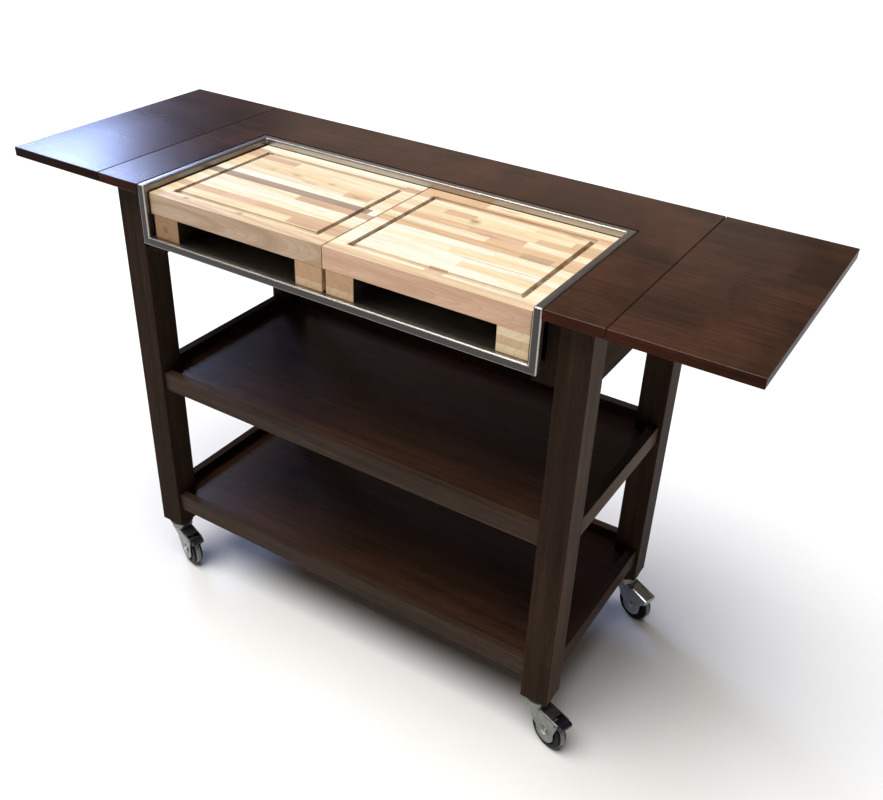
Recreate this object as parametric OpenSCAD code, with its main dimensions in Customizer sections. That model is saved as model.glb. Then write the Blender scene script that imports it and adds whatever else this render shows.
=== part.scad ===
// Service trolley with two drop leaves, two tray shelves and two lift-out boards in a steel insert.
// The origin is on the floor under the middle of the top, X runs along the top and the front is at -Y.

/* [Top and leaves] */
// Length of the fixed top
top_l = 1000; // [960:10:1080]
// Depth of the top from front to back
top_d = 500; // [500:5:540]
// Thickness of the top and the leaves
top_t = 18; // [16:1:22]
// Height of the top surface
top_z = 905; // [880:5:930]
// Length of one leaf
leaf_l = 225; // [181:2:261]
// Open seam between the top and a leaf
seam = 1; // [1:0.5:3]
// Radius of the sanded wood edges
edge_r = 1.5; // [1:0.5:2.5]

/* [Legs and aprons] */
// Side of a square leg
leg_s = 54; // [50:1:58]
// Overhang of the top past the legs at each end
end_over = 22; // [18:1:26]
// Overhang of the top past the legs at front and back
side_over = 21; // [16:1:26]
// Thickness of aprons and shelf rails
rail_t = 18; // [16:1:20]
// Setback of aprons and rails from the outer leg faces
setback = 7; // [4:1:10]
// Height of the side and rear aprons
apron_h = 120; // [105:5:140]

/* [Shelves] */
// Height of a shelf rail
rail_h = 38; // [34:1:50]
// Height of the upper edge of the bottom shelf
low_z = 187; // [170:1:220]
// Height of the upper edge of the middle shelf
mid_z = 495; // [440:1:540]
// Depth of a shelf tray inside its rails
tray_drop = 22; // [12:1:24]
// Thickness of a shelf panel
panel_t = 12; // [9:1:12]
// Depth of the groove that holds a shelf panel
panel_groove = 6; // [4:1:8]

/* [Steel insert] */
// Width of the insert along the top
insert_w = 804; // [780:2:808]
// Depth of the insert from the front edge
insert_d = 346; // [330:2:360]
// Height of the insert
insert_h = 113; // [108:1:118]
// Side of the square tube of the frame
tube_s = 15; // [12:1:18]
// Radius of the rounded edges of the tube
tube_r = 3; // [2:0.5:4]
// Thickness of the sheet of the tray
sheet_t = 1.5; // [1:0.5:2]
// Shadow gap between the wood and the frame
shadow = 2; // [1:0.5:3]

/* [Boards] */
// Width of one board
board_w = 382; // [365:1:384]
// Depth of one board
board_d = 320; // [300:2:324]
// Thickness of the glued slab
slab_t = 40; // [34:1:44]
// Height of a runner under the slab
runner_h = 44; // [36:1:46]
// Width of a runner
runner_w = 56; // [40:2:70]
// Inset of the outer runner from the left edge of its board
runner_inset = 6; // [0:1:12]
// Distance of the juice groove from the edges
juice_inset = 34; // [25:1:45]
// Radius of the juice groove
juice_r = 5; // [4:0.5:6]

/* [Casters] */
// Diameter of a wheel
wheel_d = 75; // [72:1:78]
// Width of a wheel
wheel_w = 20; // [18:1:22]
// Height of a caster from floor to leg
caster_h = 105; // [102:1:108]
// Distance of the axle behind the swivel axis
trail = 35; // [32:1:36]
// Direction in which the casters trail, from +X
swivel = -20; // [-180:5:180]

/* [Hidden] */
$fn = 48;

stain = "#3b2723";
steel = "#b4b7b8";
maple = "#dfc193";
zinc = "#9a9d9f";
black = "#202124";
grey = "#a6a7a5";

// Small overrun of a cut past a face
cut = 1;
// Running gap between bodies that lift apart
lift_gap = 0.3;

under_top = top_z - top_t;
leg_x = top_l / 2 - end_over;
leg_y = top_d / 2 - side_over;
leg_cx = leg_x - leg_s / 2;
leg_cy = leg_y - leg_s / 2;
rail_x = leg_x - setback;
rail_y = leg_y - setback;
bay_x = leg_x - leg_s;
bay_y = leg_y - leg_s;

insert_y0 = -top_d / 2;
insert_y1 = insert_y0 + insert_d;
insert_z0 = top_z - insert_h;
floor_z = insert_z0 + tube_s;
// Upright and width of the ledge of the bearers, under the edge of the tray
bearer_z0 = under_top - apron_h;
ledge_z = floor_z - sheet_t;
ledge = 20;

board_y0 = insert_y0 + 10;
board_z0 = floor_z + lift_gap;
slab_z0 = board_z0 + runner_h;
board_gap = 2;
left_board_x0 = -board_w - board_gap;
right_board_x0 = 0;
juice_lift = 0.5;

// Hinge: axis on the open seam, a little below the wood
hinge_x = top_l / 2 + seam / 2;
hinge_drop = 8;
hinge_z = under_top - hinge_drop;
hinge_y = 115;
knuckle_r = 7.5;
pin_r = 3;
plate_t = 2;
fixed_half = 17;
leaf_half = 14.5;
fixed_reach = 73;
leaf_reach = 140;
notch_half = 20;
notch_h = 24;

// Caster heights, and the ends of the fork, a bent sheet
wheel_r = wheel_d / 2;
fork_half = 16;
boss_half = 13;
fork_t = 2.2;
bend_r = 3;
roof_z = caster_h - 21.5;
cup_top = caster_h - 10.5;
cup_r = 22;
race_r = 25.5;
king_r = 6;
axle_r = 4;
fit = 0.05;
cheek_r = 22.5;
slope_u = 12;
plain_end = [70.5, roof_z - 11.5];
braked_end = [66.5, roof_z];
braked_roof = 49;
skirt_z = 62;
tread_half = 5.5;
shoulder_r = 4;
tread_in = 31;
pedal_u = 61;
pedal_z = 77;
pedal_half = 12.5;
trunnion_r = 3;

// Wooden block with all its edges rounded, standing on z = 0 from the corner at the origin
module soft_block(size, r = edge_r) {
  intersection() {
    linear_extrude(size.z) soft_rect(size.x, size.y, r);
    translate([0, size.y, 0]) rotate([90, 0, 0]) linear_extrude(size.y) soft_rect(size.x, size.z, r);
    rotate([90, 0, 90]) linear_extrude(size.x) soft_rect(size.y, size.z, r);
  }
}

module soft_rect(w, h, r) {
  translate([r, 0]) square([w - 2 * r, h]);
  translate([0, r]) square([w, h - 2 * r]);
  for (x = [r, w - r], y = [r, h - r])
    translate([x, y]) circle(r, $fn = 24);
}

module mirror_x(side) {
  mirror([side < 0 ? 1 : 0, 0, 0]) children();
}

// Top with the open cut-out for the insert

module top_panel() {
  color(stain) difference() {
    translate([-top_l / 2, -top_d / 2, under_top]) soft_block([top_l, top_d, top_t]);
    translate([-insert_w / 2 - shadow, insert_y0 - cut, under_top - cut])
      cube([insert_w + 2 * shadow, insert_d + shadow + cut, top_t + 2 * cut]);
  }
}

module leaf(side) {
  color(stain) mirror_x(side)
    translate([top_l / 2 + seam, -top_d / 2, under_top]) soft_block([leaf_l, top_d, top_t]);
}

// Legs with a bore for the caster stem

module leg(sx, sy) {
  color(stain) translate([sx * leg_cx, sy * leg_cy, 0]) difference() {
    translate([-leg_s / 2, -leg_s / 2, caster_h]) soft_block([leg_s, leg_s, under_top - caster_h]);
    translate([0, 0, caster_h - cut]) cylinder(r = king_r + 0.2, h = 56 + cut);
  }
}

// Aprons, the side ones notched for the hinge arms

module side_apron(side) {
  color(stain) mirror_x(side) difference() {
    translate([rail_x - rail_t, -bay_y, under_top - apron_h]) cube([rail_t, 2 * bay_y, apron_h]);
    for (s = [-1, 1])
      translate([rail_x - rail_t - cut, s * hinge_y - notch_half, under_top - notch_h])
        cube([rail_t + 2 * cut, 2 * notch_half, notch_h + cut]);
  }
}

module rear_apron() {
  color(stain) translate([-bay_x, rail_y - rail_t, under_top - apron_h])
    cube([2 * bay_x, rail_t, apron_h]);
}

// Bearers that carry the steel insert between the legs

module side_bearer(side) {
  back = rail_y - rail_t;
  color(stain) mirror_x(side) {
    translate([insert_w / 2, -rail_y, bearer_z0]) cube([bay_x - insert_w / 2, rail_y + back, apron_h]);
    translate([insert_w / 2 - ledge, -rail_y, bearer_z0])
      cube([ledge, rail_y + insert_y1 - ledge, ledge_z - bearer_z0]);
  }
}

module rear_bearer() {
  color(stain) {
    translate([-insert_w / 2, insert_y1, bearer_z0]) cube([insert_w, rail_t, apron_h]);
    translate([-insert_w / 2, insert_y1 - ledge, bearer_z0])
      cube([insert_w, ledge, ledge_z - bearer_z0]);
  }
}

// Welded frame of rounded square tube: a U lies level with the top and a rectangle stands at the front

module tube(from, size) {
  translate(from) soft_block(size, tube_r);
}

module insert_frame() {
  side_x = [-insert_w / 2, insert_w / 2 - tube_s];
  color(steel) union() {
    for (x = side_x) {
      tube([x, insert_y0, top_z - tube_s], [tube_s, insert_d, tube_s]);
      tube([x, insert_y0, insert_z0], [tube_s, tube_s, insert_h]);
    }
    tube([side_x[0], insert_y1 - tube_s, top_z - tube_s], [insert_w, tube_s, tube_s]);
    tube([side_x[0], insert_y0, insert_z0], [insert_w, tube_s, tube_s]);
  }
}

// Folded tray with three walls, its floor level with the front rail of the frame
module insert_tray() {
  inner_w = insert_w - 2 * tube_s;
  depth = insert_d - 2 * tube_s + sheet_t;
  wall_h = insert_h - 2 * tube_s + sheet_t;
  color(steel) difference() {
    translate([-inner_w / 2 - sheet_t, insert_y0 + tube_s, floor_z - sheet_t])
      cube([inner_w + 2 * sheet_t, depth, wall_h]);
    translate([-inner_w / 2, insert_y0 + tube_s - cut, floor_z])
      cube([inner_w, depth - sheet_t + cut, wall_h]);
  }
}

// Shelves: a panel let into the grooves of four rails

module shelf_panel(z) {
  gx = rail_x - rail_t + panel_groove;
  gy = rail_y - rail_t + panel_groove;
  notch = 0.5;
  color(stain) translate([0, 0, z - tray_drop - panel_t]) difference() {
    translate([-gx, -gy, 0]) cube([2 * gx, 2 * gy, panel_t]);
    for (sx = [-1, 1], sy = [-1, 1])
      translate([sx * (bay_x - notch + leg_s / 2), sy * (bay_y - notch + leg_s / 2), panel_t / 2])
        cube([leg_s, leg_s, panel_t + 2 * cut], center = true);
  }
}

// Rail along X from the corner at the origin, grooved on its rear face
module rail(length) {
  difference() {
    soft_block([length, rail_t, rail_h], 1);
    translate([-cut, rail_t - panel_groove, rail_h - tray_drop - panel_t])
      cube([length + 2 * cut, panel_groove + cut, panel_t]);
  }
}

module front_rail(z) {
  color(stain) translate([-bay_x, -rail_y, z - rail_h]) rail(2 * bay_x);
}

module rear_rail(z) {
  color(stain) rotate([0, 0, 180]) translate([-bay_x, -rail_y, z - rail_h]) rail(2 * bay_x);
}

module side_rail(side, z) {
  color(stain) rotate([0, 0, side < 0 ? -90 : 90])
    translate([-bay_y, -rail_x, z - rail_h]) rail(2 * bay_y);
}

// Lift-out boards: a glued slab with a juice groove on two runners

module board_slab(x0) {
  z1 = slab_z0 + slab_t;
  gx = [x0 + juice_inset, x0 + board_w - juice_inset];
  gy = [board_y0 + juice_inset, board_y0 + board_d - juice_inset];
  color(maple) difference() {
    translate([x0, board_y0, slab_z0]) soft_block([board_w, board_d, slab_t], 1.2);
    for (y = gy)
      translate([gx[0], y, z1 + juice_lift]) rotate([0, 90, 0]) cylinder(r = juice_r, h = gx[1] - gx[0]);
    for (x = gx)
      translate([x, gy[0], z1 + juice_lift]) rotate([-90, 0, 0]) cylinder(r = juice_r, h = gy[1] - gy[0]);
    for (x = gx, y = gy)
      translate([x, y, z1 + juice_lift]) sphere(r = juice_r);
  }
}

module board_runners(x0) {
  color(maple) for (x = [x0 + runner_inset, x0 + board_w - runner_w])
    translate([x, board_y0, board_z0]) soft_block([runner_w, board_d, runner_h], 1.2);
}

// Folding hinges: two pressed arms on one riveted pin, the inner arm carries the leaf

module hinge_profile(reach, toe_h) {
  circle(knuckle_r);
  polygon([
    [0, -knuckle_r], [0, knuckle_r], [knuckle_r + 1.5, hinge_drop],
    [reach, hinge_drop], [reach, hinge_drop - toe_h], [reach * 0.45, -knuckle_r]
  ]);
}

module hinge_arm(reach, half, first) {
  difference() {
    union() {
      for (s = [-1, 1])
        translate([0, s * (half - plate_t / 2) + plate_t / 2, 0]) rotate([90, 0, 0])
          linear_extrude(plate_t) hinge_profile(reach, 5);
      translate([first, -half, hinge_drop - plate_t]) cube([reach - first, 2 * half, plate_t]);
    }
    for (x = [reach - 14, reach - 40])
      translate([x, 0, 0]) cylinder(d = 5, h = 20);
    rotate([90, 0, 0]) cylinder(r = pin_r + fit, h = 60, center = true);
  }
}

module at_hinge(side, sy) {
  mirror_x(side) translate([hinge_x, sy * hinge_y, hinge_z]) children();
}

module hinge_fixed_arms() {
  color(zinc) for (side = [-1, 1], sy = [-1, 1])
    at_hinge(side, sy) mirror([1, 0, 0]) hinge_arm(fixed_reach, fixed_half, knuckle_r + 1.5);
}

module hinge_leaf_arms(side) {
  color(zinc) for (sy = [-1, 1])
    at_hinge(side, sy) hinge_arm(leaf_reach, leaf_half, 5);
}

// Pin with a closed spring detent drum in its middle and a head at each end
module hinge_pins() {
  drum = leaf_half - plate_t - 0.5;
  head_in = fixed_half;
  color(zinc) for (side = [-1, 1], sy = [-1, 1])
    at_hinge(side, sy) rotate([90, 0, 0]) rotate_extrude()
      polygon([
        [0, -head_in - 2], [4, -head_in - 2], [5, -head_in - 1], [5, -head_in],
        [pin_r, -head_in], [pin_r, -drum], [6.5, -drum], [6.5, drum], [pin_r, drum],
        [pin_r, head_in], [5, head_in], [5, head_in + 1], [4, head_in + 2], [0, head_in + 2]
      ]);
}

// Casters, drawn with the swivel axis on Z and trailing along +X

module at_caster(sx, sy) {
  translate([sx * leg_cx, sy * leg_cy, 0]) rotate([0, 0, swivel]) children();
}

module caster_stem(sx, sy) {
  color(zinc) at_caster(sx, sy) rotate_extrude() polygon([
    [0, caster_h + 50], [king_r - 1, caster_h + 50], [king_r, caster_h + 49], [king_r, caster_h],
    [race_r - 1, caster_h], [race_r, caster_h - 1], [race_r, caster_h - 7], [race_r - 3, caster_h - 10],
    [king_r, caster_h - 10], [king_r, roof_z - fork_t - 0.4],
    [king_r + 4, roof_z - fork_t - 0.4], [king_r + 4, roof_z - fork_t - 2], [king_r + 2, roof_z - fork_t - 3.4],
    [0, roof_z - fork_t - 3.4]
  ]);
}

// Side view of the fork, its roof level up to slope_u and then down to the given end
module fork_outline(end, heel) {
  translate([trail, wheel_r]) circle(cheek_r, $fn = 64);
  polygon([
    [-17, roof_z], [-17, 78], [-13, 74], [-4, 60], [2, 47], [trail - cheek_r, wheel_r],
    [trail + cheek_r, wheel_r], [57, 50], heel, end, [slope_u, roof_z]
  ]);
}

// Across the fork: upright below the roof, set in towards the axle
module fork_section(inset, top) {
  wide = fork_half - inset;
  narrow = boss_half - inset;
  polygon([
    [-wide, top], [-wide, 70], [-narrow, 54], [-narrow, 0],
    [narrow, 0], [narrow, 54], [wide, 70], [wide, top]
  ]);
}

// The same with the roof's two bends rounded
module fork_skin() {
  half = fork_half - bend_r;
  intersection() {
    fork_section(0, roof_z);
    union() {
      translate([-fork_half, 0]) square([2 * fork_half, roof_z - bend_r]);
      translate([-half, 0]) square([2 * half, roof_z]);
      for (s = [-1, 1])
        translate([s * half, roof_z - bend_r]) circle(bend_r, $fn = 32);
    }
  }
}

module across_fork() {
  rotate([90, 0, 0]) linear_extrude(2 * fork_half + 2, center = true) children();
}

module along_fork() {
  translate([-30, 0, 0]) rotate([90, 0, 90]) linear_extrude(120) children();
}

module fork_shell(braked) {
  end = braked ? braked_end : plain_end;
  wall = braked ? end.x + cut : end.x - fork_t;
  difference() {
    intersection() {
      across_fork() fork_outline(end, braked ? [65.5, 74] : [end.x, skirt_z]);
      along_fork() fork_skin();
    }
    intersection() {
      across_fork() polygon([
        [-30, 0], [-30, roof_z - fork_t], [slope_u, roof_z - fork_t], [wall, end.y - fork_t], [wall, 0]
      ]);
      along_fork() fork_section(fork_t, roof_z);
    }
  }
}

module caster_fork(sx, sy, braked) {
  color(zinc) at_caster(sx, sy) difference() {
    union() {
      fork_shell(braked);
      for (s = [-1, 1])
        translate([trail, s * (boss_half + 0.5), wheel_r]) rotate([90, 0, 0])
          cylinder(r = 11, h = 1, center = true);
      translate([0, 0, roof_z]) cylinder(r1 = cup_r, r2 = cup_r - 1, h = cup_top - roof_z);
    }
    translate([0, 0, roof_z - 10]) cylinder(r = king_r + fit, h = 30);
    translate([trail, 0, wheel_r]) rotate([90, 0, 0]) cylinder(r = axle_r + 0.02, h = 60, center = true);
    if (braked) {
      translate([pedal_u, 0, pedal_z]) rotate([90, 0, 0])
        cylinder(r = trunnion_r + fit, h = 60, center = true);
      translate([braked_roof, bend_r - fork_half, pedal_z]) cube([30, 2 * (fork_half - bend_r), 30]);
    }
  }
}

module axle(sx, sy) {
  tip = boss_half + 1;
  color(zinc) at_caster(sx, sy) translate([trail, 0, wheel_r]) rotate([90, 0, 0]) rotate_extrude() polygon([
    [0, -tip - 2.5], [3.5, -tip - 2.5], [6, -tip - 1], [6, -tip], [axle_r, -tip],
    [axle_r, tip], [6, tip], [6, tip + 1], [3.5, tip + 2.5], [0, tip + 2.5]
  ]);
}

// Wheel with rounded shoulders on both sides of the grey tread
module wheel(sx, sy) {
  half = wheel_w / 2;
  shoulder_at = wheel_r - 0.5 - shoulder_r;
  color(black) at_caster(sx, sy) translate([trail, 0, wheel_r]) rotate([90, 0, 0]) rotate_extrude($fn = 72)
    difference() {
      union() {
        translate([axle_r + fit, -half - 0.5]) square([6, 2 * half + 1]);
        translate([axle_r + fit, 3 - half]) square([25, 2 * half - 6]);
        translate([27, -half]) square([shoulder_at - 27, 2 * half]);
        translate([27, shoulder_r - half]) square([shoulder_at + shoulder_r - 27, 2 * (half - shoulder_r)]);
        for (s = [-1, 1])
          translate([shoulder_at, s * (half - shoulder_r)]) circle(shoulder_r, $fn = 32);
      }
      translate([tread_in, -tread_half]) square([10, 2 * tread_half]);
    }
}

module tyre(sx, sy) {
  r = 1.5;
  color(grey) at_caster(sx, sy) translate([trail, 0, wheel_r]) rotate([90, 0, 0]) rotate_extrude($fn = 72)
    union() {
      translate([tread_in, -tread_half]) square([wheel_r - tread_in - r, 2 * tread_half]);
      translate([tread_in, r - tread_half]) square([wheel_r - tread_in, 2 * (tread_half - r)]);
      for (s = [-1, 1])
        translate([wheel_r - r, s * (tread_half - r)]) circle(r, $fn = 24);
    }
}

// Moulded toe pedal on two trunnions, its body lies in the open end of the fork's roof
module brake_pedal(sx, sy) {
  color(black) at_caster(sx, sy) difference() {
    union() {
      translate([pedal_u, 0, pedal_z]) rotate([90, 0, 0])
        cylinder(r = trunnion_r, h = 2 * fork_half - 0.4, center = true);
      translate([0, pedal_half, 0]) rotate([90, 0, 0]) linear_extrude(2 * pedal_half) polygon([
        [52, 75], [52, 78], [62, 80.2], [67.2, 80.5], [67.2, 83], [68.2, 84], [74, 84], [77.5, 81],
        [77.5, 75], [76, 73], [67, 69.5], [pedal_u, pedal_z - 6]
      ]);
    }
    for (u = [70, 72.5, 75])
      translate([u, 0, 84.3]) rotate([90, 0, 0]) cylinder(r = 1, h = 2 * pedal_half + 2, center = true);
  }
}

top_panel();
leaf(-1);  // left_leaf
leaf(1);  // right_leaf
leg(-1, -1);  // front_left_leg
leg(1, -1);  // front_right_leg
leg(-1, 1);  // rear_left_leg
leg(1, 1);  // rear_right_leg
side_apron(-1);  // left_side_apron
side_apron(1);  // right_side_apron
rear_apron();
side_bearer(-1);  // left_insert_bearer
side_bearer(1);  // right_insert_bearer
rear_bearer();  // rear_insert_bearer
insert_frame();
insert_tray();
shelf_panel(mid_z);  // middle_shelf_panel
front_rail(mid_z);  // middle_shelf_front_rail
rear_rail(mid_z);  // middle_shelf_rear_rail
side_rail(-1, mid_z);  // middle_shelf_left_rail
side_rail(1, mid_z);  // middle_shelf_right_rail
shelf_panel(low_z);  // bottom_shelf_panel
front_rail(low_z);  // bottom_shelf_front_rail
rear_rail(low_z);  // bottom_shelf_rear_rail
side_rail(-1, low_z);  // bottom_shelf_left_rail
side_rail(1, low_z);  // bottom_shelf_right_rail
board_slab(left_board_x0);  // left_board_slab
board_runners(left_board_x0);  // left_board_runners
board_slab(right_board_x0);  // right_board_slab
board_runners(right_board_x0);  // right_board_runners
hinge_fixed_arms();
hinge_pins();
hinge_leaf_arms(-1);  // left_hinge_leaf_arms
hinge_leaf_arms(1);  // right_hinge_leaf_arms
caster_stem(-1, -1);  // front_left_caster_stem
caster_fork(-1, -1, true);  // front_left_caster_fork
axle(-1, -1);  // front_left_axle
wheel(-1, -1);  // front_left_wheel
tyre(-1, -1);  // front_left_tyre
caster_stem(1, -1);  // front_right_caster_stem
caster_fork(1, -1, true);  // front_right_caster_fork
axle(1, -1);  // front_right_axle
wheel(1, -1);  // front_right_wheel
tyre(1, -1);  // front_right_tyre
caster_stem(-1, 1);  // rear_left_caster_stem
caster_fork(-1, 1, false);  // rear_left_caster_fork
axle(-1, 1);  // rear_left_axle
wheel(-1, 1);  // rear_left_wheel
tyre(-1, 1);  // rear_left_tyre
caster_stem(1, 1);  // rear_right_caster_stem
caster_fork(1, 1, false);  // rear_right_caster_fork
axle(1, 1);  // rear_right_axle
wheel(1, 1);  // rear_right_wheel
tyre(1, 1);  // rear_right_tyre
brake_pedal(-1, -1);  // front_left_brake_pedal
brake_pedal(1, -1);  // front_right_brake_pedal
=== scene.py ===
import math
import random

import bmesh
import bpy
from mathutils import Matrix, Vector


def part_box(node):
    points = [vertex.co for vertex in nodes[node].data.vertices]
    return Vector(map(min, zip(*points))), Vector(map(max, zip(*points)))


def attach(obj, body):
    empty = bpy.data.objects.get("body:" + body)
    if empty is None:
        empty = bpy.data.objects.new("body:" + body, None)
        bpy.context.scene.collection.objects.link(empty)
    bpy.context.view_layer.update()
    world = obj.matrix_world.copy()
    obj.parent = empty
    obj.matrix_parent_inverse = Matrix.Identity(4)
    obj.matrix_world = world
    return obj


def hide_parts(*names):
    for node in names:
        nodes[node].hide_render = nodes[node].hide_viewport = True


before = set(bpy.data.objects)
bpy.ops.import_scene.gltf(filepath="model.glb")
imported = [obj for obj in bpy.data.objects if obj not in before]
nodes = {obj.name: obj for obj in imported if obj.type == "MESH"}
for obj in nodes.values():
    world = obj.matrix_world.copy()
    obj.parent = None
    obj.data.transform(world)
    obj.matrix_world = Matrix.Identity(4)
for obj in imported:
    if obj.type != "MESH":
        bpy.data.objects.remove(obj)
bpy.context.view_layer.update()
scene = bpy.context.scene
print("frame loaded:", len(nodes), "nodes")


# Camera, solved from the corners of the trolley in the photo
cameraSet = {
    "place": (0.9474288, -1.4263504, 1.5691513),
    "yaw": -31.1005,
    "pitch": 32.5004,
    "roll": -2.3180,
    "focalPx": 1019.907,
    "centrePx": (439.295, 398.661),
    "framePx": (883, 800),
    "sensor": 36.0,
}


def makeCamera(values):
    yaw, pitch, roll = (math.radians(values[k]) for k in ("yaw", "pitch", "roll"))
    forward = Vector((math.sin(yaw) * math.cos(pitch), math.cos(yaw) * math.cos(pitch), -math.sin(pitch)))
    level = Vector((math.cos(yaw), -math.sin(yaw), 0))
    down = forward.cross(level)
    right = math.cos(roll) * level + math.sin(roll) * down
    below = -math.sin(roll) * level + math.cos(roll) * down
    wide, high = values["framePx"]
    data = bpy.data.cameras.new("viewCamera")
    data.sensor_fit = "HORIZONTAL"
    data.sensor_width = values["sensor"]
    data.lens = values["focalPx"] / wide * values["sensor"]
    data.shift_x = (wide / 2 - values["centrePx"][0]) / wide
    data.shift_y = (values["centrePx"][1] - high / 2) / wide
    data.clip_end = 60
    camera = bpy.data.objects.new("viewCamera", data)
    turn = Matrix((right, -below, -forward)).transposed().to_4x4()
    camera.matrix_world = Matrix.Translation(values["place"]) @ turn
    scene.collection.objects.link(camera)
    scene.camera = camera


makeCamera(cameraSet)


# Node helpers
def addNode(tree, kind, inputs=None, **settings):
    node = tree.nodes.new(kind)
    for key, value in settings.items():
        setattr(node, key, value)
    for key, value in (inputs or {}).items():
        socket = node.inputs[key]
        if isinstance(value, bpy.types.NodeSocket):
            tree.links.new(value, socket)
        else:
            socket.default_value = value
    return node


def newMaterial(name):
    # the material, its node tree and the Object coordinates that all patterns follow
    material = bpy.data.materials.new(name)
    material.use_nodes = True
    tree = material.node_tree
    tree.nodes.clear()
    return material, tree, addNode(tree, "ShaderNodeTexCoord").outputs["Object"]


def closeMaterial(tree, inputs):
    shader = addNode(tree, "ShaderNodeBsdfPrincipled", inputs)
    out = tree.nodes.new("ShaderNodeOutputMaterial")
    tree.links.new(shader.outputs[0], out.inputs["Surface"])


def spread(tree, coords, scale, turn=(0, 0, 0), shift=(0, 0, 0)):
    # stretches and turns a pattern on a piece
    return addNode(tree, "ShaderNodeMapping", {"Vector": coords, "Scale": scale, "Rotation": turn,
                                               "Location": shift}).outputs[0]


def noise(tree, vector, scale, detail=4.0, rough=0.55, distortion=0.0):
    return addNode(tree, "ShaderNodeTexNoise", {"Vector": vector, "Scale": scale, "Detail": detail,
                                                "Roughness": rough, "Distortion": distortion}).outputs[0]


def ramp(tree, value, stops):
    node = addNode(tree, "ShaderNodeValToRGB", {"Fac": value})
    elements = node.color_ramp.elements
    while len(elements) < len(stops):
        elements.new(0.5)
    for element, (place, colour) in zip(elements, stops):
        element.position = place
        element.color = (colour, colour, colour, 1)
    return node.outputs[0]


def blendColours(tree, amount, first, second, mode="MIX"):
    node = tree.nodes.new("ShaderNodeMix")
    node.data_type = "RGBA"
    node.blend_type = mode
    for socket, value in ((node.inputs[0], amount), (node.inputs[6], first), (node.inputs[7], second)):
        if isinstance(value, bpy.types.NodeSocket):
            tree.links.new(value, socket)
        elif isinstance(value, (int, float)):
            socket.default_value = value
        else:
            socket.default_value = (*value, 1)
    return node.outputs[2]


def maths(tree, operation, *values):
    return addNode(tree, "ShaderNodeMath", dict(enumerate(values)), operation=operation).outputs[0]


def times(tree, first, second):
    return maths(tree, "MULTIPLY", first, second)


def vectorMaths(tree, operation, *values):
    node = addNode(tree, "ShaderNodeVectorMath", dict(enumerate(values)), operation=operation)
    return node.outputs["Value" if operation in ("LENGTH", "DOT_PRODUCT") else "Vector"]


def axesOf(tree, vector):
    return addNode(tree, "ShaderNodeSeparateXYZ", {0: vector}).outputs


def faceNormal(tree):
    return addNode(tree, "ShaderNodeNewGeometry").outputs["True Normal"]


def remap(tree, value, low, high):
    return addNode(tree, "ShaderNodeMapRange", {"Value": value, "To Min": low, "To Max": high}).outputs[0]


def relief(tree, height, strength, distance, **more):
    inputs = {"Strength": strength, "Distance": distance, "Height": height, **more}
    return addNode(tree, "ShaderNodeBump", inputs).outputs[0]


def edgeMask(tree, radius, low, high):
    # 1 on worn corners, 0 on flat faces
    soft = addNode(tree, "ShaderNodeBevel", {"Radius": radius}, samples=4).outputs[0]
    dot = vectorMaths(tree, "DOT_PRODUCT", soft, faceNormal(tree))
    return ramp(tree, maths(tree, "SUBTRACT", 1.0, dot), [(low, 0.0), (high, 1.0)])


# Dark stained wood of the top, leaves and shelf panels
stainSet = {
    "dark": (0.0150, 0.0075, 0.0050),
    "body": (0.0420, 0.0195, 0.0118),
    "warm": (0.0950, 0.0380, 0.0200),
    "worn": (0.1600, 0.0640, 0.0350),
    "pore": (0.0060, 0.0034, 0.0026),
}
# The same on the legs, aprons and rails, which are less red
legStain = {
    "dark": (0.0195, 0.0128, 0.0092),
    "body": (0.0400, 0.0248, 0.0170),
    "warm": (0.0780, 0.0430, 0.0260),
    "worn": (0.1500, 0.0740, 0.0420),
    "pore": (0.0060, 0.0040, 0.0030),
}
# The edges of the top and leaves are redder and duller
edgeStain = {
    "dark": (0.0120, 0.0050, 0.0035),
    "body": (0.0360, 0.0145, 0.0090),
    "warm": (0.0900, 0.0270, 0.0130),
    "worn": (0.1600, 0.0560, 0.0300),
    "pore": (0.0060, 0.0030, 0.0020),
}
# Scales of the pattern along and across the grain, and how strongly it shows
grainSet = {
    "figure": (2.2, 34, 34),
    "streaks": (7, 230, 230),
    "pores": (38, 950, 950),
    "lacquer": (3, 14, 14),
    "clouds": 5.0,
    "scuffs": 60.0,
    "seedShift": (1.37, 0.71, 0.93),
    "poreDark": 0.55,
    "wornEdge": 0.0022,
    "roughness": (0.22, 0.34),
    "coat": 0.2,
    "coatRoughness": 0.22,
    "bump": 0.14,
    "bumpDepth": 0.0002,
    # the tint of the painted light on faces turned to +X
    "paintedLitTint": (0.97, 1.0, 1.04),
}
grainTurns = {"x": (0, 0, 0), "y": (0, 0, -math.pi / 2), "z": (0, math.pi / 2, 0)}


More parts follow.
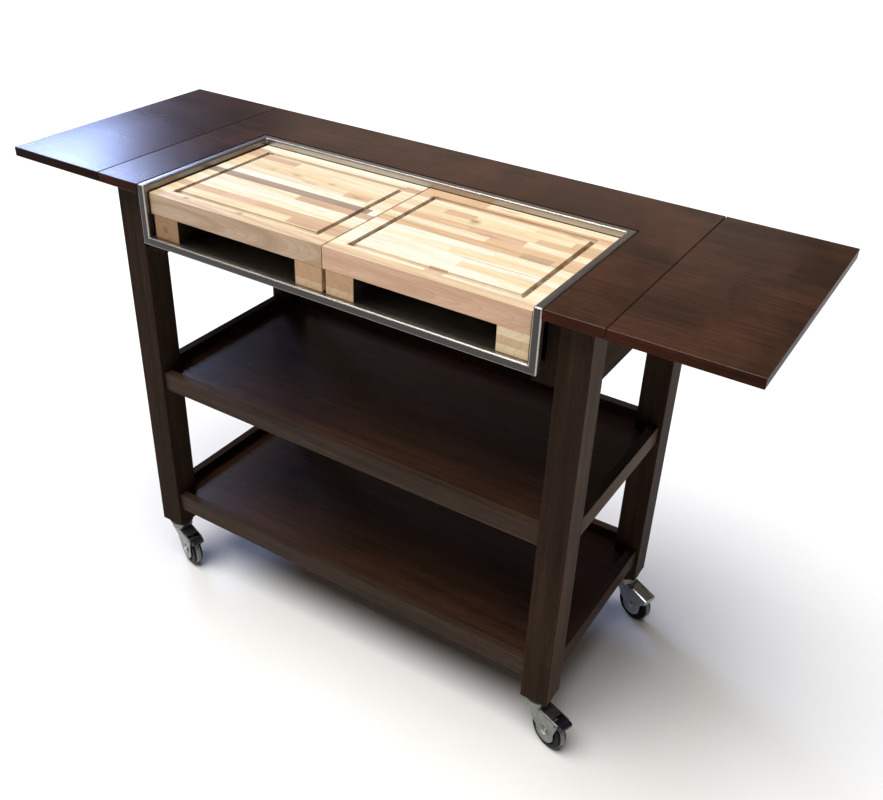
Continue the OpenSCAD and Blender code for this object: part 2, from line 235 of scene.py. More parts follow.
def stainedWood(name, along, seed, warmth, gloss, shade, stain=stainSet, paintedLitSide=None, sheen=(1, 1, 1)):
    # the lit side's factor: how many times lighter the faces turned to +X are made, painted light for the
    # light that falls on that side
    # sheen: the colour of the reflections
    material, tree, coords = newMaterial(name)
    shift = tuple(seed * step for step in grainSet["seedShift"])
    grain = spread(tree, coords, (1, 1, 1), grainTurns[along], shift)
    figure = noise(tree, spread(tree, grain, grainSet["figure"]), 1.0, 6.0, 0.62, 0.6)
    streaks = noise(tree, spread(tree, grain, grainSet["streaks"]), 1.0, 3.0, 0.6)
    pores = noise(tree, spread(tree, grain, grainSet["pores"]), 1.0, 2.0, 0.5)
    clouds = noise(tree, grain, grainSet["clouds"], 3.0, 0.5, 0.8)
    base = blendColours(tree, ramp(tree, figure, [(0.34, 0.0), (0.66, 1.0)]), stain["dark"], stain["body"])
    warmed = times(tree, ramp(tree, clouds, [(0.36, 0.15), (0.66, 1.0)]), warmth)
    base = blendColours(tree, warmed, base, stain["warm"])
    base = blendColours(tree, ramp(tree, streaks, [(0.30, 0.50), (0.58, 0.0)]), base, stain["dark"])
    poreMask = ramp(tree, pores, [(0.32, 1.0), (0.42, 0.0)])
    base = blendColours(tree, times(tree, poreMask, grainSet["poreDark"]), base, stain["pore"])
    scuffs = ramp(tree, noise(tree, grain, grainSet["scuffs"], 4.0, 0.6), [(0.35, 0.15), (0.7, 0.8)])
    base = blendColours(tree, times(tree, edgeMask(tree, grainSet["wornEdge"], 0.02, 0.30), scuffs), base,
                        stain["worn"])
    base = blendColours(tree, 1.0, base, (shade, shade, shade), "MULTIPLY")
    # painted light: faces turned to +X are made lighter, standing in for the light that falls on that side
    if paintedLitSide:
        toRight = ramp(tree, axesOf(tree, faceNormal(tree))[0], [(0.90, 0.0), (0.99, 1.0)])
        paintedLighter = blendColours(tree, 1.0, base, tuple(paintedLitSide * c for c in grainSet["paintedLitTint"]), "MULTIPLY")
        base = blendColours(tree, toRight, base, paintedLighter)
    rough = remap(tree, noise(tree, spread(tree, grain, grainSet["lacquer"]), 1.0), *grainSet["roughness"])
    height = maths(tree, "SUBTRACT", times(tree, streaks, 0.4), times(tree, poreMask, 0.25))
    closeMaterial(tree, {"Base Color": base, "Roughness": rough, "Specular IOR Level": gloss,
                         "Normal": relief(tree, height, grainSet["bump"], grainSet["bumpDepth"]),
                         "Coat Weight": grainSet["coat"] * gloss, "Coat Roughness": grainSet["coatRoughness"],
                         "Specular Tint": (*sheen, 1)})
    return material


# Brushed stainless of the welded frame, the brushing follows each tube
steelSet = {
    "bright": (0.60, 0.575, 0.545),
    "dull": (0.37, 0.35, 0.335),
    "weld": (0.20, 0.19, 0.18),
    # front and inner: colours of the painted shade on the front faces and on the side arms' inner faces
    "front": (0.050, 0.045, 0.043),
    "inner": (0.17, 0.16, 0.15),
    "along": 18,
    "across": 1500,
    "stains": 14.0,
    "weldSharpness": 300.0,
    "roughness": (0.22, 0.38),
    "rounding": 0.0045,
    "bump": 0.18,
    "bumpDepth": 0.0001,
}
# The frame's half width, back and foot, its posts' rear faces and its arms' underside, in metres
frameCorner = {"halfWidth": 0.402, "back": 0.096, "foot": 0.792, "postBack": -0.235, "armFoot": 0.888}


def brushedSteel(name, corner, values=steelSet):
    material, tree, coords = newMaterial(name)
    x, y, z = axesOf(tree, coords)
    toSide = maths(tree, "SUBTRACT", corner["halfWidth"], maths(tree, "ABSOLUTE", x))
    toBack = maths(tree, "SUBTRACT", corner["back"], y)
    toFloor = maths(tree, "SUBTRACT", z, corner["foot"])
    along, across = values["along"], values["across"]
    scales = ((along, across, across), (across, along, across), (across, across, along))
    alongX, alongY, alongZ = (noise(tree, spread(tree, coords, scale), 1.0, 3.0, 0.6) for scale in scales)
    onSide = maths(tree, "LESS_THAN", toSide, toBack)
    atFront = maths(tree, "LESS_THAN", y, corner["postBack"])
    onPost = times(tree, maths(tree, "LESS_THAN", toSide, toFloor), atFront)
    brushed = blendColours(tree, onSide, alongX, alongY)
    brushed = blendColours(tree, onPost, brushed, alongZ)
    seam = maths(tree, "ABSOLUTE", maths(tree, "SUBTRACT", toSide, toBack))
    seam = times(tree, seam, values["weldSharpness"])
    onArms = maths(tree, "GREATER_THAN", z, corner["armFoot"])
    weld = times(tree, ramp(tree, seam, [(0.10, 1.0), (0.45, 0.0)]), onArms)
    stains = noise(tree, coords, values["stains"], 5.0, 0.6, 0.5)
    base = blendColours(tree, ramp(tree, brushed, [(0.3, 0.0), (0.7, 1.0)]), values["dull"], values["bright"])
    base = blendColours(tree, ramp(tree, stains, [(0.52, 0.0), (0.8, 0.35)]), base, values["dull"])
    base = blendColours(tree, times(tree, weld, 0.6), base, values["weld"])
    # painted shade: the front faces are darkened as a painted reflection of a dark room, and the side arms'
    # inner faces are darkened as painted shade
    normalX, normalY = axesOf(tree, faceNormal(tree))[:2]
    paintedFrontShade = times(tree, times(tree, normalY, -1.0), atFront)
    base = blendColours(tree, ramp(tree, paintedFrontShade, [(0.90, 0.0), (0.99, 0.96)]), base, values["front"])
    paintedInnerShade = times(tree, times(tree, maths(tree, "SIGN", x), normalX), -1.0)
    base = blendColours(tree, ramp(tree, paintedInnerShade, [(0.90, 0.0), (0.99, 0.8)]), base, values["inner"])
    rough = maths(tree, "ADD", remap(tree, brushed, *values["roughness"]),
                  times(tree, ramp(tree, stains, [(0.4, 0.0), (0.8, 1.0)]), 0.08))
    rounded = addNode(tree, "ShaderNodeBevel", {"Radius": values["rounding"]}, samples=6).outputs[0]
    bump = relief(tree, brushed, values["bump"], values["bumpDepth"], Normal=rounded)
    closeMaterial(tree, {"Base Color": base, "Roughness": rough, "Normal": bump, "Metallic": 1.0})
    return material


# Sheet of the tray: the same steel, duller, with a film of oil and smears, and darker low down as painted
# shade under the boards
traySet = {
    "bright": (0.30, 0.285, 0.27),
    "dull": (0.16, 0.15, 0.14),
    "smear": (0.15, 0.14, 0.13),
    # low: the colour of the painted shade low in the tray, under the boards
    "low": (0.045, 0.040, 0.034),
    "paintedShadeTop": (0.815, 0.850),
    "paintedShadeStrength": 0.35,
    "brushing": (14, 900, 900),
    "roughness": (0.22, 0.34),
}


def traySheet(name, values=traySet):
    material, tree, coords = newMaterial(name)
    brushed = noise(tree, spread(tree, coords, values["brushing"]), 1.0, 3.0, 0.6)
    smears = noise(tree, coords, 9.0, 5.0, 0.6, 1.2)
    base = blendColours(tree, ramp(tree, brushed, [(0.3, 0.0), (0.7, 1.0)]), values["dull"], values["bright"])
    base = blendColours(tree, ramp(tree, smears, [(0.45, 0.0), (0.75, 0.6)]), base, values["smear"])
    # painted shade: darker towards the bottom of the tray, under the boards
    start, stop = values["paintedShadeTop"]
    low = ramp(tree, axesOf(tree, coords)[2], [(start, values["paintedShadeStrength"]), (stop, 0.0)])
    base = blendColours(tree, low, base, values["low"])
    rough = maths(tree, "ADD", remap(tree, brushed, *values["roughness"]), times(tree, smears, 0.18))
    closeMaterial(tree, {"Base Color": base, "Roughness": rough, "Metallic": 1.0,
                         "Normal": relief(tree, brushed, 0.15, 0.0001)})
    return material


# Bright zinc of the casters and hinges; the rear forks' zinc is made brighter as painted light, and their
# roofs take a painted highlight
zincTones = {
    "zincPlate": {"tint": (0.29, 0.30, 0.28), "dark": (0.155, 0.16, 0.148), "roughness": (0.20, 0.36)},
    "rivetZinc": {"tint": (0.66, 0.66, 0.65), "dark": (0.40, 0.40, 0.40), "roughness": (0.16, 0.30)},
    "rearZincPaintedLight": {"tint": (0.56, 0.565, 0.53), "dark": (0.34, 0.345, 0.325), "roughness": (0.20, 0.36)},
    "roofZincPaintedHighlight": {"tint": (0.82, 0.82, 0.81), "dark": (0.62, 0.62, 0.61), "roughness": (0.08, 0.18)},
}
zincSet = {
    "worn": (0.72, 0.72, 0.70),
    "mottle": 90.0,
    "grit": 900.0,
    "cells": 260.0,
    "wornEdge": 0.0012,
    "metal": 0.95,
}


def zincPlate(name, values=zincSet):
    material, tree, coords = newMaterial(name)
    tone = zincTones[name]
    mottle = noise(tree, coords, values["mottle"], 5.0, 0.65, 0.4)
    grit = noise(tree, coords, values["grit"], 3.0, 0.6)
    cells = addNode(tree, "ShaderNodeTexVoronoi", {"Vector": coords, "Scale": values["cells"]})
    base = blendColours(tree, ramp(tree, mottle, [(0.30, 0.0), (0.72, 1.0)]), tone["dark"], tone["tint"])
    base = blendColours(tree, 0.10, base, cells.outputs["Color"], "SOFT_LIGHT")
    wear = times(tree, edgeMask(tree, values["wornEdge"], 0.02, 0.35), 0.6)
    base = blendColours(tree, wear, base, values["worn"])
    rough = maths(tree, "ADD", remap(tree, mottle, *tone["roughness"]), times(tree, grit, 0.08))
    closeMaterial(tree, {"Base Color": base, "Roughness": rough, "Metallic": values["metal"],
                         "Normal": relief(tree, grit, 0.20, 0.0001)})
    return material


# Black moulded plastic of the race covers, wheels and pedals
plasticTones = {
    "ringBlack": {"body": (0.014, 0.012, 0.011), "scuff": (0.05, 0.045, 0.040), "roughness": (0.30, 0.50),
                  "gloss": 0.22},
    "wheelBlack": {"body": (0.004, 0.004, 0.004), "scuff": (0.016, 0.015, 0.014), "roughness": (0.30, 0.48),
                   "gloss": 0.10},
    "pedalBlack": {"body": (0.006, 0.006, 0.009), "scuff": (0.035, 0.035, 0.040), "roughness": (0.30, 0.45),
                   "gloss": 0.22},
}
plasticSet = {
    "graining": 700.0,
    "marks": (60, 60, 400),
    "markStrength": 0.5,
    "dust": 40.0,
    "wornEdge": 0.0010,
}


def mouldedPlastic(name, values=plasticSet):
    material, tree, coords = newMaterial(name)
    tone = plasticTones[name]
    body, scuff = tone["body"], tone["scuff"]
    leather = noise(tree, coords, values["graining"], 3.0, 0.6)
    marks = noise(tree, spread(tree, coords, values["marks"]), 1.0, 4.0, 0.6, 0.7)
    dust = noise(tree, coords, values["dust"], 5.0, 0.6)
    marks = times(tree, ramp(tree, marks, [(0.52, 0.0), (0.75, 1.0)]), values["markStrength"])
    base = blendColours(tree, marks, body, scuff)
    base = blendColours(tree, ramp(tree, dust, [(0.5, 0.0), (0.8, 0.3)]), base, scuff)
    base = blendColours(tree, times(tree, edgeMask(tree, values["wornEdge"], 0.02, 0.4), 0.35), base, scuff)
    closeMaterial(tree, {"Base Color": base, "Roughness": remap(tree, dust, *tone["roughness"]),
                         "Normal": relief(tree, leather, 0.25, 0.0001), "Specular IOR Level": tone["gloss"]})
    return material


# Grey tread with fine ribs across it, counted round the axle
treadSet = {
    "body": (0.30, 0.295, 0.28),
    "grime": (0.13, 0.125, 0.115),
    "ribs": 64,
    "dust": 140.0,
    "roughness": (0.55, 0.75),
}


def ribbedTread(name, centre, turn, values=treadSet):
    material, tree, coords = newMaterial(name)
    offset = vectorMaths(tree, "SUBTRACT", coords, centre)
    axes = axesOf(tree, spread(tree, offset, (1, 1, 1), (0, 0, turn)))
    rib = maths(tree, "SINE", times(tree, maths(tree, "ARCTAN2", axes[2], axes[0]), values["ribs"]))
    dust = noise(tree, coords, values["dust"], 5.0, 0.65)
    base = blendColours(tree, ramp(tree, rib, [(0.0, 0.45), (0.5, 0.0)]), values["body"], values["grime"])
    base = blendColours(tree, ramp(tree, dust, [(0.42, 0.0), (0.75, 0.6)]), base, values["grime"])
    height = maths(tree, "ADD", rib, times(tree, dust, 0.3))
    closeMaterial(tree, {"Base Color": base, "Roughness": remap(tree, dust, *values["roughness"]),
                         "Normal": relief(tree, height, 0.5, 0.0004)})
    return material


# Light hardwood of the boards: every stave has its own tone and its own heart
mapleSet = {
    "pale": (0.97, 0.93, 0.79),
    "cream": (0.93, 0.83, 0.62),
    "sand": (0.80, 0.64, 0.44),
    "straw": (0.87, 0.73, 0.49),
    "beige": (0.75, 0.56, 0.39),
    "tan": (0.71, 0.515, 0.325),
    "amber": (0.56, 0.365, 0.210),
    "honey": (0.36, 0.215, 0.100),
    "drab": (0.56, 0.42, 0.285),
    "rose": (0.69, 0.49, 0.335),
    "umber": (0.40, 0.315, 0.235),
    "knot": (0.23, 0.098, 0.038),
    # groove: stain and painted shade of the juice groove; shadow: painted shade of the runners' gap
    "groove": (0.105, 0.048, 0.019),
    "shadow": (0.016, 0.011, 0.007),
}
# place of each knot or stain, its reach along X, Y and Z in metres, and its strength
knotSet = [
    ((-0.353, -0.240, 0.827), (0.012, 0.08, 0.011), 1.0),
    ((-0.3135, -0.2205, 0.891), (0.010, 0.007, 0.012), 0.75),
    ((-0.1935, -0.217, 0.891), (0.011, 0.0065, 0.012), 0.55),
    ((-0.286, -0.018, 0.891), (0.016, 0.007, 0.010), 0.28),
    ((-0.231, -0.0155, 0.891), (0.020, 0.009, 0.010), 0.42),
    ((-0.151, -0.0155, 0.891), (0.016, 0.009, 0.010), 0.38),
    ((-0.191, -0.034, 0.891), (0.028, 0.0045, 0.010), 0.45),
    ((-0.076, -0.0405, 0.891), (0.024, 0.008, 0.010), 0.40),
    ((0.174, 0.067, 0.891), (0.040, 0.008, 0.010), 0.30),
    ((0.319, 0.037, 0.891), (0.024, 0.006, 0.010), 0.35),
    ((0.148, -0.006, 0.891), (0.014, 0.016, 0.010), 0.70),
    ((0.194, -0.0455, 0.891), (0.038, 0.009, 0.010), 0.35),
    ((0.280, -0.1405, 0.891), (0.120, 0.0022, 0.010), 0.60),
    ((-0.350, 0.046, 0.888), (0.013, 0.013, 0.010), 0.95),
    ((-0.350, -0.206, 0.888), (0.013, 0.013, 0.010), 0.95),
    ((0.034, 0.046, 0.888), (0.013, 0.013, 0.010), 0.95),
    ((0.034, -0.206, 0.888), (0.013, 0.013, 0.010), 0.95),
]
# growth rings, and the patterns' scales along and across the staves
ringSet = {
    "perMetre": 290.0,
    "zones": 380.0,
    "wander": 0.012,
    "rise": -0.03,
    "faint": 0.22,
    "leanGain": 2.5,
    "ashGain": 5.0,
    "deep": (0.74, 0.58, 0.44),
    "ashen": (0.64, 0.54, 0.46),
    "wobble": (5, 22, 22),
    "streaks": (12, 420, 420),
    "flecks": (90, 1500, 1500),
    "clouds": (9, 60, 60),
    "roughness": (0.36, 0.52),
    "gloss": 0.40,
    "bump": 0.25,
    "bumpDepth": 0.00015,
}


def boardWood(name, along, stainAndShadeTone, values=ringSet):
    material, tree, coords = newMaterial(name)
    kinds = {"staveTone": "Color", "staveHeart": "Vector", "staveLean": "Fac", "stainAndShade": "Fac"}
    tone, heart, lean, stainAndShade = (addNode(tree, "ShaderNodeAttribute", attribute_name=key).outputs[kind]
                                 for key, kind in kinds.items())
    grain = spread(tree, vectorMaths(tree, "ADD", coords, heart), (1, 1, 1), grainTurns[along])
    wobble = noise(tree, spread(tree, grain, values["wobble"]), 1.0, 3.0, 0.5)
    x, y, z = axesOf(tree, grain)
    # distance from the heart of the log, which leans a little out of line with the stave
    across = maths(tree, "ADD", y, times(tree, x, lean))
    upward = maths(tree, "ADD", z, times(tree, x, values["rise"]))
    radius = maths(tree, "SQRT", maths(tree, "ADD", times(tree, across, across), times(tree, upward, upward)))
    radius = maths(tree, "ADD", radius, times(tree, wobble, values["wander"]))
    ring = maths(tree, "FRACT", times(tree, radius, values["perMetre"]))
    ringMask = ramp(tree, ring, [(0.0, 0.0), (0.72, 0.30), (0.93, 1.0), (1.0, 0.0)])
    streaks = noise(tree, spread(tree, grain, values["streaks"]), 1.0, 3.0, 0.65)
    flecks = noise(tree, spread(tree, grain, values["flecks"]), 1.0, 2.0, 0.5)
    clouds = noise(tree, spread(tree, grain, values["clouds"]), 1.0, 4.0, 0.6, 0.6)
    deep = blendColours(tree, 1.0, tone, values["deep"], "MULTIPLY")
    ashen = blendColours(tree, 1.0, tone, values["ashen"], "MULTIPLY")
    rings = maths(tree, "ADD", values["faint"], times(tree, lean, values["leanGain"]))
    zones = remap(tree, maths(tree, "SINE", times(tree, radius, values["zones"])), 0.0, 1.0)
    base = blendColours(tree, times(tree, ringMask, rings), tone, deep)
    base = blendColours(tree, times(tree, times(tree, zones, lean), values["ashGain"]), base, ashen)
    base = blendColours(tree, ramp(tree, streaks, [(0.38, 0.40), (0.62, 0.0)]), base, deep)
    base = blendColours(tree, ramp(tree, clouds, [(0.50, 0.0), (0.74, 0.55)]), base, deep)
    base = blendColours(tree, ramp(tree, flecks, [(0.30, 0.35), (0.42, 0.0)]), base, deep)
    ripple = times(tree, maths(tree, "SUBTRACT", noise(tree, coords, 130.0, 3.0, 0.6), 0.5), 0.9)
    for spot, reach, strength in knotSet:
        scaled = vectorMaths(tree, "MULTIPLY", vectorMaths(tree, "SUBTRACT", coords, spot),
                             tuple(1 / r for r in reach))
        far = maths(tree, "ADD", vectorMaths(tree, "LENGTH", scaled), ripple)
        mask = ramp(tree, far, [(0.22, strength), (0.45, 0.6 * strength), (0.65, 0.25 * strength),
                                (1.0, 0.0)])
        base = blendColours(tree, mask, base, mapleSet["knot"])
    # stain and painted shade: the groove and the runners' gap are darkened, patchily
    patchiness = ramp(tree, noise(tree, coords, 32.0, 4.0, 0.65), [(0.38, 1.0), (0.62, 0.74)])
    base = blendColours(tree, times(tree, stainAndShade, patchiness), base, stainAndShadeTone)
    height = maths(tree, "SUBTRACT", streaks, times(tree, ringMask, 0.3))
    closeMaterial(tree, {"Base Color": base, "Roughness": remap(tree, streaks, *values["roughness"]),
                         "Normal": relief(tree, height, values["bump"], values["bumpDepth"]),
                         "Specular IOR Level": values["gloss"]})
    return material


# Each wooden node: the axis its grain runs along, its stain, how warm that came out, its gloss and its shade.
# The shade is partly painted light and shade: raised on the shelf panels and on the front, rear and
# right-hand rails where light falls, lowered on the insert bearers standing in shade.
woodNodes = {
    "front_left_leg": ("z", legStain, 0.12, 0.008, 1.0),
    "front_right_leg": ("z", legStain, 0.06, 0.004, 1.1),
    "rear_left_leg": ("z", legStain, 0.12, 0.010, 0.9),
    "rear_right_leg": ("z", legStain, 0.12, 0.004, 1.1),
    "left_side_apron": ("y", legStain, 0.15, 0.001, 1.0),
    "right_side_apron": ("y", legStain, 0.15, 0.001, 1.0),
    "rear_apron": ("x", legStain, 0.15, 0.05, 0.8),
    "rear_insert_bearer": ("x", legStain, 0.15, 0.01, 0.6),
    "left_insert_bearer": ("y", legStain, 0.15, 0.01, 0.6),
    "right_insert_bearer": ("y", legStain, 0.15, 0.01, 0.6),
    "middle_shelf_panel": ("x", stainSet, 0.20, 0.20, 1.38),
    "bottom_shelf_panel": ("x", stainSet, 0.20, 0.22, 1.22),
    "middle_shelf_front_rail": ("x", legStain, 0.25, 0.04, 1.4),
    "middle_shelf_rear_rail": ("x", legStain, 0.30, 0.12, 2.6),
    "middle_shelf_left_rail": ("y", legStain, 0.20, 0.01, 1.0),
    "middle_shelf_right_rail": ("y", legStain, 0.20, 0.006, 1.7),
    "bottom_shelf_front_rail": ("x", legStain, 0.25, 0.04, 1.2),
    "bottom_shelf_rear_rail": ("x", legStain, 0.30, 0.12, 2.2),
    "bottom_shelf_left_rail": ("y", legStain, 0.20, 0.01, 1.0),
    "bottom_shelf_right_rail": ("y", legStain, 0.20, 0.006, 1.6),
}
# painted light: on these nodes the faces turned to +X are made lighter
paintedLitSides = {
    "front_right_leg": 2.6,
    "rear_right_leg": 1.4,
    "right_side_apron": 1.4,
    "middle_shelf_right_rail": 1.6,
}
panelSheen = (1.0, 0.80, 0.55)  # takes the window's blue out of the shelves' reflections


def paint(node, material):
    mesh = nodes[node].data
    if not mesh.materials:
        mesh.materials.append(material)
    for index in range(len(mesh.materials)):
        mesh.materials[index] = material


for seed, (node, (along, stain, warmth, gloss, shade)) in enumerate(woodNodes.items(), 4):
    sheen = panelSheen if node.endswith("panel") else (1, 1, 1)
    wood = stainedWood("stain_" + node, along, seed, warmth, gloss, shade, stain, paintedLitSides.get(node), sheen)
    paint(node, wood)
paint("insert_tray", traySheet("traySteel"))
print("materials on the carried-over nodes done")


# Meshes: vertices closer than joinReach, in metres, are one, and folds steeper than sharpFold stay sharp
joinReach = 1e-6
sharpFold = math.radians(32)


def mergedCopy(node):
    mesh = nodes[node].data.copy()
    work = bmesh.new()
    work.from_mesh(mesh)
    bmesh.ops.remove_doubles(work, verts=work.verts, dist=joinReach)
    bmesh.ops.recalc_face_normals(work, faces=work.faces)
    work.to_mesh(mesh)
    work.free()
    return mesh


def plainMesh(obj, name):
    # evaluated modifiers turned into a mesh of its own
    mesh = bpy.data.meshes.new_from_object(obj.evaluated_get(bpy.context.evaluated_depsgraph_get()))
    mesh.name = name
    return mesh


def cutAway(mesh, cutterMesh, operation):
    # the mesh less the cutter, or only what both share
    whole = bpy.data.objects.new(mesh.name, mesh)
    cutter = bpy.data.objects.new(cutterMesh.name, cutterMesh)
    for obj in (whole, cutter):
        scene.collection.objects.link(obj)
    cut = whole.modifiers.new("cut", "BOOLEAN")
    cut.operation = operation
    cut.solver = "EXACT"
    cut.object = cutter
    bpy.context.view_layer.update()
    result = plainMesh(whole, mesh.name)
    for obj in (whole, cutter):
        bpy.data.objects.remove(obj)
    return result


# The CAD shape with its loose triangles joined, smooth up to the sharp folds, and its finish
def smoothPiece(node, name, body, material, second=None, picks=None, mesh=None):
    # picks: the faces that take the second material; mesh: a reworked shape, if not the node's own
    mesh = mesh or mergedCopy(node)
    mesh.name = name
    work = bmesh.new()
    work.from_mesh(mesh)
    for face in work.faces:
        face.smooth = True
    for edge in work.edges:
        edge.smooth = edge.calc_face_angle(math.pi) < sharpFold
    work.to_mesh(mesh)
    work.free()
    mesh.materials.clear()
    mesh.materials.append(material)
    if second:
        mesh.materials.append(second)
        for face in mesh.polygons:
            face.material_index = int(picks(face))
    piece = bpy.data.objects.new(name, mesh)
    scene.collection.objects.link(piece)
    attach(piece, body)
    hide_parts(node)


# The fixed top and leaves: piece, body, warmth, gloss and shade, and the shade of their edges, which is
# partly painted shade, darkest on the left leaf
edgeGloss = 0.02
topPieces = {
    "top_panel": ("fixed_top", "root", 0.72, 0.28, 0.90, 0.90),
    "left_leaf": ("left_drop_leaf", "left_leaf_body", 0.40, 0.34, 0.80, 0.45),
    "right_leaf": ("right_drop_leaf", "right_leaf_body", 0.76, 0.28, 0.88, 0.80),
}


def onEdge(face):
    return abs(face.normal.z) < 0.5


for seed, (node, (name, body, warmth, gloss, shade, edgeShade)) in enumerate(topPieces.items(), 1):
    flatWood = stainedWood("stain_" + node, "x", seed, warmth, gloss, shade)
    edgeWood = stainedWood("stain_edges_" + node, "x", seed, warmth, edgeGloss, edgeShade, edgeStain)
    smoothPiece(node, name, body, flatWood, edgeWood, onEdge)
print("top and leaves done")

smoothPiece("insert_frame", "welded_tube_frame", "root", brushedSteel("frameSteel", frameCorner))
print("steel frame done")

casterTurn = math.radians(20)
# The plain forks' sloping roof is crowned between its two bends, which leaves a valley beside each (in mm)
crownSet = {
    "trail": 35,
    "start": 24,
    "stop": 73,
    "knee": (12, 83.5),
    "end": (70.5, 72),
    "half": 13.6,
    "above": 4.0,
    "rise": -0.15,
    "valley": 1.75,
    "steps": 12,
}


def crownedRoof(node, axle, values=crownSet):
    low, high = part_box(axle)
    along = Vector((math.cos(casterTurn), -math.sin(casterTurn), 0))
    across = Vector((math.sin(casterTurn), math.cos(casterTurn), 0))
    pivot = (low + high) / 2 - along * values["trail"] / 1000
    kneeU, kneeZ = values["knee"]
    fall = (values["end"][1] - kneeZ) / (values["end"][0] - kneeU)
    section = [(values["half"], values["above"]), (-values["half"], values["above"])]
    for step in range(values["steps"] + 1):
        part = 2 * step / values["steps"] - 1
        section.append((part * values["half"], values["rise"] - values["valley"] * abs(part) ** 3))
    work = bmesh.new()
    rings = []
    for u in (values["start"], values["stop"]):
        roofZ = kneeZ + (u - kneeU) * fall
        spots = [pivot.xy.to_3d() + (along * u + across * v) / 1000 + Vector((0, 0, (roofZ + h) / 1000))
                 for v, h in section]
        rings.append([work.verts.new(spot) for spot in spots])
    count = len(section)
    for index in range(count):
        after = (index + 1) % count
        work.faces.new((rings[0][index], rings[0][after], rings[1][after], rings[1][index]))
    work.faces.new(rings[0])
    work.faces.new(reversed(rings[1]))
    bmesh.ops.recalc_face_normals(work, faces=work.faces)
    cutterMesh = bpy.data.meshes.new(node + "_valleys")
    work.to_mesh(cutterMesh)
    work.free()
    return cutAway(mergedCopy(node), cutterMesh, "DIFFERENCE")


ringFoot = 0.0949  # the black race cover starts at this height
zinc, rivetZinc, rearZincPaintedLight, roofZincPaintedHighlight = (zincPlate(name) for name in zincTones)
ringBlack, wheelBlack, pedalBlack = (mouldedPlastic(name) for name in plasticTones)


def onCover(face):
    return face.center.z > ringFoot


# painted highlight: the rear forks' upward faces take the brightest zinc
def onRoofHighlight(face):
    return face.normal.z > 0.5


for corner in ("front_left", "front_right", "rear_left", "rear_right"):
    swivel, wheel = corner + "_swivel_body", corner + "_wheel_body"
    fork, axle = corner + "_caster_fork", corner + "_axle"
    low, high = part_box(corner + "_tyre")
    tread = ribbedTread(corner + "_treadGrey", tuple((low + high) / 2), casterTurn)
    smoothPiece(corner + "_caster_stem", corner + "_swivel_head", "root", rivetZinc, ringBlack,
                onCover)
    if corner.startswith("front"):
        smoothPiece(fork, corner + "_pressed_fork", swivel, zinc)
    else:
        smoothPiece(fork, corner + "_pressed_fork", swivel, rearZincPaintedLight, roofZincPaintedHighlight, onRoofHighlight,
                    crownedRoof(fork, axle))
    smoothPiece(axle, corner + "_riveted_axle", swivel, rivetZinc)
    smoothPiece(corner + "_wheel", corner + "_wheel_core", wheel, wheelBlack)
    smoothPiece(corner + "_tyre", corner + "_ribbed_tread", wheel, tread)
    if corner.startswith("front"):
        smoothPiece(corner + "_brake_pedal", corner + "_toe_pedal", corner + "_pedal_body",
                    pedalBlack)
smoothPiece("hinge_fixed_arms", "top_hinge_arms", "root", zinc)
smoothPiece("hinge_pins", "hinge_rivets", "root", rivetZinc)
for side in ("left", "right"):
    smoothPiece(side + "_hinge_leaf_arms", side + "_leaf_hinge_arms", side + "_leaf_body", zinc)
print("casters and hinges done")


# Pan head screws with a cross recess, one field of them for each body
screwSet = {"Head Radius": 0.0040, "Head Height": 0.0024, "Recess Width": 0.0011, "Seed": 7}
# shares of the head's height and radius
screwShares = {"rimHeight": 0.55, "crownRadius": 0.90, "flatRadius": 0.58, "recess": 1.1}
screwSides = 24
screwPlaces = {
    "root": [(x, y) for x in (-0.4675, -0.4415, 0.4415, 0.4675) for y in (-0.115, 0.115)],
    "left_leaf_body": [(x, y) for x in (-0.6265, -0.6005) for y in (-0.115, 0.115)],
    "right_leaf_body": [(x, y) for x in (0.6005, 0.6265) for y in (-0.115, 0.115)],
}
plateFoot = 0.885  # the screws hang from the hinge plates' underside


